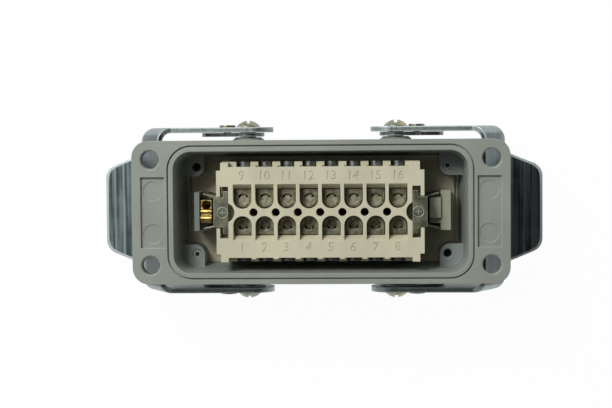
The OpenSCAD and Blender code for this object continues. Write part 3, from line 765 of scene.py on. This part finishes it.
class CONNECTOR_OT_stage(bpy.types.Operator):
    """Set the table, the light tent, the lamp and the camera"""

    bl_idname = "connector.stage"
    bl_label = "Stage"

    def floor(self):
        """White table that keeps the shadow but doesn't glow under the housing."""
        nothing_selected()
        bpy.ops.mesh.primitive_plane_add(size=TABLE_SIZE,
                                         location=(0, 0, cad_box[0][2]))
        table = bpy.context.object
        table.name = "table"
        material = bpy.data.materials.new("white_table")
        material.use_nodes = True
        g = Graph(material.node_tree)
        seen = g.node("ShaderNodeLightPath", output="Is Camera Ray")
        glossy = g.node("ShaderNodeLightPath", output="Is Glossy Ray")
        through = g.node("ShaderNodeLightPath", output="Is Transmission Ray")
        matt = g.node("ShaderNodeBsdfDiffuse", None, {"Color": (0.9, 0.9, 0.9, 1.0)})
        glow = g.node("ShaderNodeEmission", None,
                      {"Color": (1, 1, 1, 1), "Strength": 1.0})
        under_x = 1.0 - abs(g.along("X")).smoothly(*TABLE_SHADE_X)
        under_y = 1.0 - abs(g.along("Y")).smoothly(*TABLE_SHADE_Y)
        shown = (seen + glossy + through) * (1.0 - under_x * under_y) * TABLE_GLOW
        mixed = g.node("ShaderNodeMixShader", None, (shown, matt, glow))
        g.node("ShaderNodeOutputMaterial", None, {"Surface": mixed})
        table.data.materials.append(material)

    def tent(self, stage):
        """Pale walls, dark straight above, with a glow on the lamp's side."""
        world = bpy.data.worlds.new("light_tent")
        world.use_nodes = True
        g = Graph(world.node_tree)
        towards = g.node("ShaderNodeTexCoord", output="Generated")
        height = g.node("ShaderNodeSeparateXYZ", None, (towards,), output="Z")
        open_top = height.smoothly(*OPEN_TOP)
        walls = stage.sky_level + open_top * (stage.zenith_level - stage.sky_level)
        key_way = Vector(KEY_WAY).normalized()
        near_key = g.node("ShaderNodeVectorMath", {"operation": "DOT_PRODUCT"},
                          (towards, tuple(key_way)), output="Value")
        level = walls + near_key.smoothly(*KEY_SPREAD) * stage.softbox_level
        sky = g.node("ShaderNodeBackground", None,
                     {"Color": (1.0, 1.0, 1.0, 1.0), "Strength": level})
        g.node("ShaderNodeOutputWorld", None, {"Surface": sky})
        bpy.context.scene.world = world

    def lamp(self, stage):
        """Round lamp that points at the middle of the flange."""
        nothing_selected()
        bpy.ops.object.light_add(type="AREA", location=KEY_PLACE)
        light = bpy.context.object
        light.name = "key"
        light.data.shape = "DISK"
        light.data.size = KEY_SIZE
        light.data.energy = stage.key_power
        light.data.color = KEY_TINT
        aim = Vector((0, 0, FLANGE_Z)) - Vector(KEY_PLACE)
        light.rotation_euler = aim.to_track_quat("-Z", "Y").to_euler()

    def camera(self, stage):
        """Camera above the flange, turned and shifted a little off straight down."""
        turn = Matrix.Identity(3)
        for axis, angle in zip("XYZ", stage.tilt):
            turn = turn @ Matrix.Rotation(angle, 3, axis)
        reach = Vector((-stage.aim[0], -stage.aim[1], stage.camera_height))
        place = turn @ reach + Vector((0, 0, FLANGE_Z))
        bpy.ops.object.camera_add(location=place)
        camera = bpy.context.object
        camera.name = "camera"
        camera.rotation_euler = turn.to_euler()
        camera.data.lens = stage.lens
        camera.data.sensor_width = 36.0
        camera.data.clip_start = 10 * MM
        bpy.context.scene.camera = camera

    def execute(self, context):
        stage = context.scene.connector_stage
        self.floor()
        self.tent(stage)
        self.lamp(stage)
        self.camera(stage)
        context.scene.view_settings.view_transform = "Standard"
        return {"FINISHED"}


OPERATORS = (
    CONNECTOR_OT_finishes,
    CONNECTOR_OT_terminal_numbers,
    CONNECTOR_OT_earth_marks,
    CONNECTOR_OT_stage,
)


class CONNECTOR_PT_panel(bpy.types.Panel):
    """Lists the connector's operators and settings"""

    bl_idname = "CONNECTOR_PT_panel"
    bl_label = "Connector"
    bl_space_type = "VIEW_3D"
    bl_region_type = "UI"
    bl_category = "Connector"

    def draw(self, context):
        for name, group in GROUPS.items():
            box = self.layout.box()
            for setting in group.__annotations__:
                box.prop(getattr(context.scene, name), setting)
        for operator in OPERATORS:
            self.layout.operator(operator.bl_idname)


def register():
    """Adds the settings, the operators and the panel."""
    for group in GROUPS.values():
        bpy.utils.register_class(group)
    for name, group in GROUPS.items():
        setattr(bpy.types.Scene, name, bpy.props.PointerProperty(type=group))
    for operator in OPERATORS:
        bpy.utils.register_class(operator)
    bpy.utils.register_class(CONNECTOR_PT_panel)


def unregister():
    """Takes away what register added, in reverse."""
    bpy.utils.unregister_class(CONNECTOR_PT_panel)
    for operator in reversed(OPERATORS):
        bpy.utils.unregister_class(operator)
    for name in GROUPS:
        delattr(bpy.types.Scene, name)
    for group in reversed(list(GROUPS.values())):
        bpy.utils.unregister_class(group)


def main():
    """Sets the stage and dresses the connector."""
    register()
    bpy.ops.connector.stage()
    bpy.ops.connector.finishes()
    bpy.ops.connector.terminal_numbers()
    bpy.ops.connector.earth_marks()


if __name__ == "__main__":
    main()
